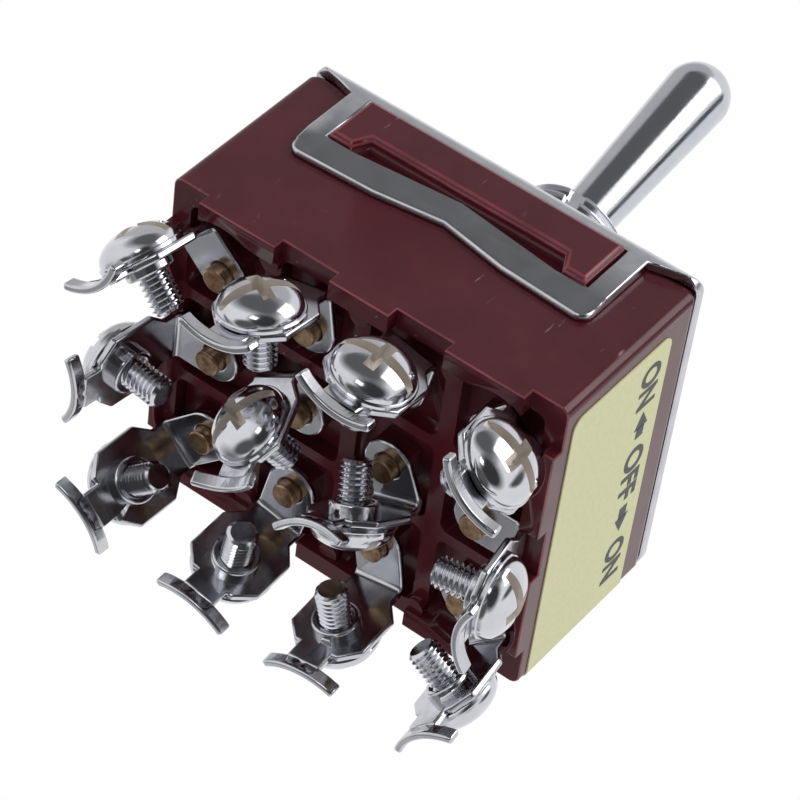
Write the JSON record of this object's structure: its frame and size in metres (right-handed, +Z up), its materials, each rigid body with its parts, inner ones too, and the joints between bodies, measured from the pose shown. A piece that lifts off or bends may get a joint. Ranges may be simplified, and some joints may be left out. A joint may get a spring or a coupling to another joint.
{
  "type": "toggle switch",
  "caption": "Panel mounted toggle switch with a threaded bushing, a bat lever, a moulded case in a folded steel frame, and fanned screw terminals below.",
  "frame": {"origin": "bushing axis at the mounting plate's top face", "axes": "+Z up the bushing towards the lever tip, +X along the poles towards the labelled end, +Y across the rows, away from the side the lever rests on"},
  "size_m": [0.0448, 0.0368, 0.0674],
  "materials": {
    "case_phenolic": "glossy dark maroon phenolic",
    "frame_plate": "bright nickel plated steel sheet",
    "bright_nickel": "bright nickel plate",
    "steel": "plain steel",
    "screw_nickel": "nickel plated steel",
    "terminal_nickel": "nickel plated brass",
    "rivet_brass": "satin brass",
    "contact_brass": "satin brass strip",
    "label_paper": "pale yellow-green paper",
    "inner_moulding": "dark thermoset moulding"
  },
  "bodies": {
    "housing": {"case": "case_phenolic", "mounting_frame": "frame_plate", "bushing": "bright_nickel", "lever_pin": "steel", "rating_label": "label_paper", "contact_rivet_1a": "rivet_brass", "contact_rivet_1b": "rivet_brass", "contact_rivet_1c": "rivet_brass", "contact_rivet_1d": "rivet_brass", "contact_rivet_2a": "rivet_brass", "contact_rivet_2b": "rivet_brass", "contact_rivet_2c": "rivet_brass", "contact_rivet_2d": "rivet_brass", "contact_rivet_3a": "rivet_brass", "contact_rivet_3b": "rivet_brass", "contact_rivet_3c": "rivet_brass", "contact_rivet_3d": "rivet_brass", "terminal_1a": "terminal_nickel", "terminal_1b": "terminal_nickel", "terminal_1c": "terminal_nickel", "terminal_1d": "terminal_nickel", "terminal_2a": "terminal_nickel", "terminal_2b": "terminal_nickel", "terminal_2c": "terminal_nickel", "terminal_2d": "terminal_nickel", "terminal_3a": "terminal_nickel", "terminal_3b": "terminal_nickel", "terminal_3c": "terminal_nickel", "terminal_3d": "terminal_nickel"},
    "lever": {"lever": "bright_nickel"},
    "carriage": {"carriage": "inner_moulding", "plunger_spring_1": "steel", "plunger_spring_2": "steel", "plunger_spring_3": "steel", "plunger_spring_4": "steel"},
    "plunger_1": {"plunger_1": "inner_moulding"},
    "rocker_1": {"rocker_contact_1": "contact_brass"},
    "plunger_2": {"plunger_2": "inner_moulding"},
    "rocker_2": {"rocker_contact_2": "contact_brass"},
    "plunger_3": {"plunger_3": "inner_moulding"},
    "rocker_3": {"rocker_contact_3": "contact_brass"},
    "plunger_4": {"plunger_4": "inner_moulding"},
    "rocker_4": {"rocker_contact_4": "contact_brass"},
    "screw_1a": {"terminal_screw_1a": "screw_nickel"},
    "screw_1b": {"terminal_screw_1b": "screw_nickel"},
    "screw_1c": {"terminal_screw_1c": "screw_nickel"},
    "screw_1d": {"terminal_screw_1d": "screw_nickel"},
    "screw_2a": {"terminal_screw_2a": "screw_nickel"},
    "screw_2b": {"terminal_screw_2b": "screw_nickel"},
    "screw_2c": {"terminal_screw_2c": "screw_nickel"},
    "screw_2d": {"terminal_screw_2d": "screw_nickel"},
    "screw_3a": {"terminal_screw_3a": "screw_nickel"},
    "screw_3b": {"terminal_screw_3b": "screw_nickel"},
    "screw_3c": {"terminal_screw_3c": "screw_nickel"},
    "screw_3d": {"terminal_screw_3d": "screw_nickel"}
  },
  "joints": [
    {"name": "lever_throw", "type": "hinge", "parent": "housing", "child": "lever", "pos_m": [0, 0, 0.00845], "axis": [-1, 0, 0], "range_deg": [0, 26.4]},
    {"name": "carriage_slide", "type": "slide", "parent": "housing", "child": "carriage", "axis": [0, -1, 0], "range_m": [0, 0.0052]},
    {"name": "plunger_1_spring", "type": "slide", "parent": "carriage", "child": "plunger_1", "axis": [0, 0, 1], "range_m": [0, 0.0004], "stiffness_N_per_m": 400, "springref_m": -0.002, "deforming": ["plunger_spring_1"]},
    {"name": "rocker_1_tip", "type": "hinge", "parent": "housing", "child": "rocker_1", "pos_m": [-0.0141, 0, -0.0141], "axis": [1, 0, 0], "range_deg": [0, 16]},
    {"name": "plunger_2_spring", "type": "slide", "parent": "carriage", "child": "plunger_2", "axis": [0, 0, 1], "range_m": [0, 0.0004], "stiffness_N_per_m": 400, "springref_m": -0.002, "deforming": ["plunger_spring_2"]},
    {"name": "rocker_2_tip", "type": "hinge", "parent": "housing", "child": "rocker_2", "pos_m": [-0.0047, 0, -0.0141], "axis": [1, 0, 0], "range_deg": [0, 16]},
    {"name": "plunger_3_spring", "type": "slide", "parent": "carriage", "child": "plunger_3", "axis": [0, 0, 1], "range_m": [0, 0.0004], "stiffness_N_per_m": 400, "springref_m": -0.002, "deforming": ["plunger_spring_3"]},
    {"name": "rocker_3_tip", "type": "hinge", "parent": "housing", "child": "rocker_3", "pos_m": [0.0047, 0, -0.0141], "axis": [1, 0, 0], "range_deg": [0, 16]},
    {"name": "plunger_4_spring", "type": "slide", "parent": "carriage", "child": "plunger_4", "axis": [0, 0, 1], "range_m": [0, 0.0004], "stiffness_N_per_m": 400, "springref_m": -0.002, "deforming": ["plunger_spring_4"]},
    {"name": "rocker_4_tip", "type": "hinge", "parent": "housing", "child": "rocker_4", "pos_m": [0.0141, 0, -0.0141], "axis": [1, 0, 0], "range_deg": [0, 16]},
    {"name": "screw_1a_travel", "type": "slide", "parent": "housing", "child": "screw_1a", "axis": [-0.7273, -0.6783, 0.1045], "range_m": [0, 0.0015]},
    {"name": "screw_1b_travel", "type": "slide", "parent": "housing", "child": "screw_1b", "axis": [-0.1894, -0.9743, 0.1219], "range_m": [0, 0.0015]},
    {"name": "screw_1c_travel", "type": "slide", "parent": "housing", "child": "screw_1c", "axis": [0.1545, -0.9755, 0.1564], "range_m": [0, 0.0015]},
    {"name": "screw_1d_travel", "type": "slide", "parent": "housing", "child": "screw_1d", "axis": [0.6545, -0.7269, 0.2079], "range_m": [0, 0.0015]},
    {"name": "screw_2a_travel", "type": "slide", "parent": "housing", "child": "screw_2a", "axis": [-0.9945, 0, 0.1045], "range_m": [0, 0.0015]},
    {"name": "screw_2b_travel", "type": "slide", "parent": "housing", "child": "screw_2b", "axis": [-0.4937, -0.732, -0.4695], "range_m": [0, 0.0015]},
    {"name": "screw_2c_travel", "type": "slide", "parent": "housing", "child": "screw_2c", "axis": [0.3481, 0.8202, -0.454], "range_m": [0, 0.0015]},
    {"name": "screw_2d_travel", "type": "slide", "parent": "housing", "child": "screw_2d", "axis": [0.9875, -0.0172, 0.1564], "range_m": [0, 0.0015]},
    {"name": "screw_3a_travel", "type": "slide", "parent": "housing", "child": "screw_3a", "axis": [-0.7044, 0.7044, 0.0872], "range_m": [0, 0.0015]},
    {"name": "screw_3b_travel", "type": "slide", "parent": "housing", "child": "screw_3b", "axis": [-0.1898, 0.9762, 0.1045], "range_m": [0, 0.0015]},
    {"name": "screw_3c_travel", "type": "slide", "parent": "housing", "child": "screw_3c", "axis": [0.1898, 0.9762, 0.1045], "range_m": [0, 0.0015]},
    {"name": "screw_3d_travel", "type": "slide", "parent": "housing", "child": "screw_3d", "axis": [0.7259, 0.6769, 0.1219], "range_m": [0, 0.0015]}
  ],
  "couplings": [
    {"joint": "carriage_slide", "follows": "lever_throw", "m_per_rad": 0.0112},
    {"joint": "rocker_1_tip", "follows": "lever_throw", "ratio": 0.606},
    {"joint": "rocker_2_tip", "follows": "lever_throw", "ratio": 0.606},
    {"joint": "rocker_3_tip", "follows": "lever_throw", "ratio": 0.606},
    {"joint": "rocker_4_tip", "follows": "lever_throw", "ratio": 0.606}
  ]
}
